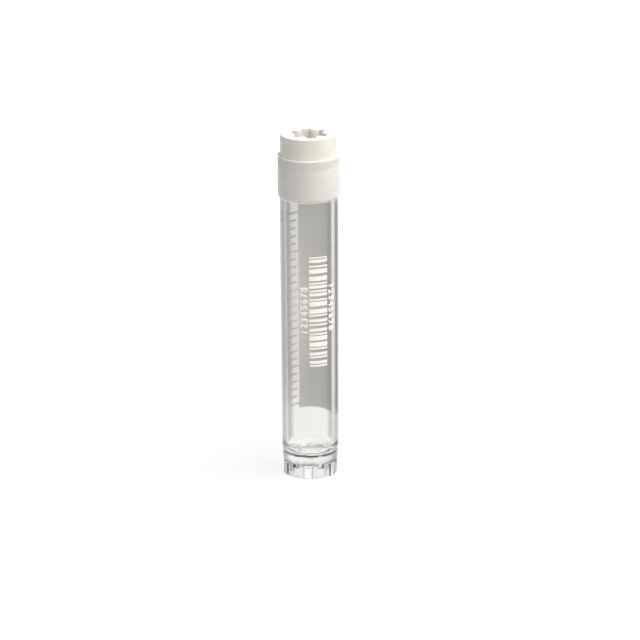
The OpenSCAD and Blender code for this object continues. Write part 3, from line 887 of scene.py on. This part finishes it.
def addFlatText(bm, words, s, height, spacing, degrees, middle, turn):
    # digits as flat shapes in the artwork's plane; turn is anticlockwise in degrees
    curve = bpy.data.curves.new("digits", "FONT")
    curve.body = words
    curve.size = height * mm / s["capShare"]
    curve.space_character = spacing
    curve.offset = s["boldness"] * mm
    curve.align_x = "CENTER"
    curve.align_y = "CENTER"
    curve.resolution_u = s["curveSteps"]
    text = newObject("digits", curve)
    mesh = bpy.data.meshes.new_from_object(text.evaluated_get(bpy.context.evaluated_depsgraph_get()))
    bpy.data.objects.remove(text)
    mesh.transform(Matrix.Translation((arcAt(degrees), 0, middle * mm))
                   @ Matrix.Rotation(math.radians(-turn), 4, "Y") @ Matrix.Rotation(math.pi / 2, 4, "X"))
    bm.from_mesh(mesh)
    bpy.data.meshes.remove(mesh)


def printPiece(name, bm, s, body):
    # slices flat artwork so that it can bend, gives it a thickness and wraps it on the body
    bmesh.ops.remove_doubles(bm, verts=bm.verts, dist=1e-8)
    left, right = min(v.co.x for v in bm.verts), max(v.co.x for v in bm.verts)
    count = int((right - left) / (s["slice"] * mm)) + 1
    cuts = [((left + (right - left) * k / count, 0, 0), (1, 0, 0)) for k in range(1, count)]
    cuts.append(((0, 0, body["landLow"] * mm), (0, 0, 1)))
    for place, facing in cuts:
        bmesh.ops.bisect_plane(bm, geom=bm.verts[:] + bm.edges[:] + bm.faces[:], dist=1e-9,
                               plane_co=place, plane_no=facing)
    bmesh.ops.translate(bm, verts=bm.verts, vec=(0, -s["standOff"] * mm, 0))
    lifted = bmesh.ops.extrude_face_region(bm, geom=bm.faces[:], use_keep_orig=True)["geom"]
    tops = [v for v in lifted if isinstance(v, bmesh.types.BMVert)]
    bmesh.ops.translate(bm, verts=tops, vec=(0, -s["thickness"] * mm, 0))
    piece = grow(name, wrapTree, {
        "Low Radius": body["lowRadius"] * mm, "High Radius": body["bodyRadius"] * mm,
        "Taper Low": body["bodyLow"] * mm, "Taper High": body["landLow"] * mm,
        "Material": whiteInk, "Underside": inkUnderside}, newObject(name, meshFrom(bm, name)))
    standFor(piece, "vial", None)


def makePanel(s):
    bm = bmesh.new()
    flatRect(bm, arcAt(s["panelFrom"]), arcAt(s["panelTo"]), s["panelLow"] * mm, s["panelHigh"] * mm)
    return bm


def makeBars(s):
    # a stack of cross bars whose widths follow a plain rule, so that it encodes nothing
    bm = bmesh.new()
    low, i = s["barsLow"], 0
    while low < s["barsHigh"] - s["leastBar"]:
        width = min(s["barWidths"][(i * i + 3 * i) % 7 % 3], s["barsHigh"] - low)
        flatRect(bm, arcAt(s["barsFrom"]), arcAt(s["barsTo"]), low * mm, (low + width) * mm)
        low += width + s["barGaps"][(7 * i) % 11 % 3]
        i += 1
    return bm


def makeDigits(s):
    # a line of digits up one side of the bars and down the other, and the scale's numerals
    bm = bmesh.new()
    for (degrees, middle), turn in ((s["leftDigits"], 90), (s["rightDigits"], -90)):
        addFlatText(bm, s["digits"], s, s["digitHeight"], s["digitSpacing"], degrees, middle, turn)
    for i in range(s["numeralCount"]):
        height = s["firstTick"] + s["tickSpacing"] * (s["firstNumeral"] + s["numeralEvery"] * i)
        addFlatText(bm, str(i + 1), s, s["numeralHeight"], 1.0, s["numeralAngle"], height, 0)
    return bm


def makeTicks(s):
    row = grow("scaleTicks", tickTree, {
        "Count": s["tickCount"], "Spacing": s["tickSpacing"] * mm, "Every": s["longEvery"],
        "First Long": s["firstLong"], "Short": s["shortTick"] * mm, "Long": s["longTick"] * mm,
        "Line": s["tickLine"] * mm, "Right": arcAt(s["tickRight"]), "Base": s["firstTick"] * mm})
    bm = bmesh.new()
    bm.from_mesh(row.data)
    bpy.data.objects.remove(row)
    return bm


whiteInk = makeInk(whiteInkLook)
inkUnderside = makeInk(undersideLook)
for name, makeArt in (("printBars", makeBars), ("writingPanel", makePanel), ("printDigits", makeDigits),
                      ("scaleTicks", makeTicks)):
    printPiece(name, makeArt(printSizes), printSizes, vialSizes)
print("print built")


# a floor level is (from, to, first, last): it goes from first to last between two distances in mm
studio = {"floorSize": 6.0, "floorGlow": 0.72, "floorMatt": "#858a8e", "floorBounce": 0.55,
          "floorLevels": {"gain": (8, 30, 1.16, 1.0), "far": (35, 75, 0.0, 1.0),
                          "distant": (60, 380, 1.0, 1.3), "contact": (3.84, 6.4, 0.93, 0.96),
                          "near": (6.4, 26, 0.0, 0.04)},
          "floorSides": {"bright": (0.95, 0.31), "from": -0.5, "to": 0.9, "low": 0.56, "high": 1.05},
          "worldSides": {"bright": (0.66, 0.75), "from": -0.2, "to": 0.6, "low": 0.72, "high": 1.0},
          "skyFrom": 0.3, "skyTo": 0.75, "skyTop": 0.6, "ambient": 0.363,
          "keyWatts": 7.0, "keySize": 0.6, "keyAzimuth": -18.6, "keyElevation": 64,
          "keyDistance": 0.7, "keyColour": "#fffaed", "aimHeight": 40}


def lookingRays(tree, path):
    # 1 for camera, glossy and transmission rays
    either = addNode(tree, "ShaderNodeMath", {0: path["Is Camera Ray"], 1: path["Is Glossy Ray"]},
                     operation="MAXIMUM")
    return addNode(tree, "ShaderNodeMath", {0: either, 1: path["Is Transmission Ray"]},
                   operation="MAXIMUM")


def sideLight(tree, look, place):
    # the level towards the studio's bright side, falling to the dull side's away from it
    level = addNode(tree, "ShaderNodeVectorMath", {0: place, 1: (1, 1, 0)}, operation="MULTIPLY")
    outward = addNode(tree, "ShaderNodeVectorMath", {0: level}, operation="NORMALIZE")
    towards = addNode(tree, "ShaderNodeVectorMath", {0: outward, 1: (*look["bright"], 0)},
                      operation="DOT_PRODUCT").outputs["Value"]
    return addNode(tree, "ShaderNodeMapRange",
                   {"Value": towards, "From Min": look["from"], "From Max": look["to"],
                    "To Min": look["low"], "To Max": look["high"]}, **smoothStep)


def makeFloor(s):
    # pale matt board; what the camera, mirrors and clear plastic see of it is lifted towards white
    material, tree = newMaterial("paleBoard")
    place = addNode(tree, "ShaderNodeTexCoord").outputs["Object"]
    path = addNode(tree, "ShaderNodeLightPath").outputs
    away = addNode(tree, "ShaderNodeVectorMath", {0: place}, operation="LENGTH").outputs["Value"]
    level = {name: addNode(tree, "ShaderNodeMapRange",
                           {"Value": away, "From Min": start * mm, "From Max": stop * mm,
                            "To Min": first, "To Max": last}, **smoothStep)
             for name, (start, stop, first, last) in s["floorLevels"].items()}
    # painted light and shade on the floor for clear plastic: brighter near the vial, darker towards the
    # dull side
    sided = addNode(tree, "ShaderNodeMix", {0: level["far"], 2: level["gain"],
                                            3: sideLight(tree, s["floorSides"], place)})
    glass = addNode(tree, "ShaderNodeMix",
                    {0: path["Is Transmission Ray"], 2: level["distant"], 3: sided})
    # painted shadow: the floor's glow is lower under the vial and rises to full some 26 mm out
    shade = addNode(tree, "ShaderNodeMath", {0: level["contact"], 1: level["near"]}, operation="ADD")
    lit = addNode(tree, "ShaderNodeMath", {0: shade, 1: s["floorGlow"]}, operation="MULTIPLY")
    strength = addNode(tree, "ShaderNodeMath", {0: glass, 1: lit}, operation="MULTIPLY")
    seen = addNode(tree, "ShaderNodeBsdfDiffuse", {"Color": linear(s["floorMatt"])})
    glow = addNode(tree, "ShaderNodeEmission", {"Color": white, "Strength": strength})
    lifted = addNode(tree, "ShaderNodeAddShader", {0: seen, 1: glow})
    plain = addNode(tree, "ShaderNodeBsdfDiffuse", {"Color": (s["floorBounce"],) * 3 + (1,)})
    mixed = addNode(tree, "ShaderNodeMixShader", {0: lookingRays(tree, path), 1: plain, 2: lifted})
    addNode(tree, "ShaderNodeOutputMaterial", {"Surface": mixed})
    bm = bmesh.new()
    bmesh.ops.create_grid(bm, x_segments=1, y_segments=1, size=s["floorSize"] / 2)
    newObject("studioFloor", meshFrom(bm, "studioFloor"), material)


def makeWorld(s):
    world = bpy.data.worlds.new("studioWorld")
    world.use_nodes = True
    tree = world.node_tree
    tree.nodes.clear()
    place = addNode(tree, "ShaderNodeTexCoord").outputs["Generated"]
    path = addNode(tree, "ShaderNodeLightPath").outputs
    z = addNode(tree, "ShaderNodeSeparateXYZ", {0: place}).outputs[2]
    height = addNode(tree, "ShaderNodeMapRange",
                     {"Value": z, "From Min": s["skyFrom"], "From Max": s["skyTo"],
                      "To Min": 1.0, "To Max": s["skyTop"]}, **smoothStep)
    glass = addNode(tree, "ShaderNodeMix", {0: path["Is Transmission Ray"], 2: 1.0,
                                            3: sideLight(tree, s["worldSides"], place)})
    strength = addNode(tree, "ShaderNodeMath", {0: glass, 1: height}, operation="MULTIPLY")
    shown = addNode(tree, "ShaderNodeBackground", {"Color": white, "Strength": strength})
    fill = addNode(tree, "ShaderNodeBackground", {"Color": white, "Strength": s["ambient"]})
    mixed = addNode(tree, "ShaderNodeMixShader", {0: lookingRays(tree, path), 1: fill, 2: shown})
    addNode(tree, "ShaderNodeOutputWorld", {"Surface": mixed})
    bpy.context.scene.world = world


def makeKeyLamp(s):
    lamp = bpy.data.lights.new("keyLamp", "AREA")
    lamp.energy = s["keyWatts"]
    lamp.size = s["keySize"]
    lamp.color = linear(s["keyColour"])[:3]
    azimuth, elevation = math.radians(s["keyAzimuth"]), math.radians(s["keyElevation"])
    reach = Vector((math.cos(azimuth) * math.cos(elevation), math.sin(azimuth) * math.cos(elevation),
                    math.sin(elevation))) * s["keyDistance"]
    holder = newObject("keyLamp", lamp)
    holder.location = reach + Vector((0, 0, s["aimHeight"] * mm))
    holder.rotation_euler = (-reach).to_track_quat("-Z", "Y").to_euler()


camera = {"lens": 208.35, "sensor": 36, "clipEnd": 20, "azimuth": -84.6, "away": 763.8, "height": 276.4,
          "aimHeight": 34.42, "aimRight": 2.25, "roll": -0.31}


def makeCamera(s):
    lens = bpy.data.cameras.new("studioCamera")
    lens.lens = s["lens"]
    lens.sensor_width = s["sensor"]
    lens.clip_end = s["clipEnd"]
    holder = newObject("studioCamera", lens)
    a = math.radians(s["azimuth"])
    spot = Vector((math.cos(a) * s["away"], math.sin(a) * s["away"], s["height"])) * mm
    aim = Vector((-math.sin(a) * s["aimRight"], math.cos(a) * s["aimRight"], s["aimHeight"])) * mm
    look = (aim - spot).to_track_quat("-Z", "Y").to_matrix().to_4x4()
    roll = Matrix.Rotation(math.radians(s["roll"]), 4, "Z")
    holder.matrix_world = Matrix.Translation(spot) @ look @ roll
    bpy.context.scene.camera = holder


makeFloor(studio)
makeWorld(studio)
makeKeyLamp(studio)
makeCamera(camera)
bpy.context.scene.view_settings.view_transform = "Standard"
print("studio built")
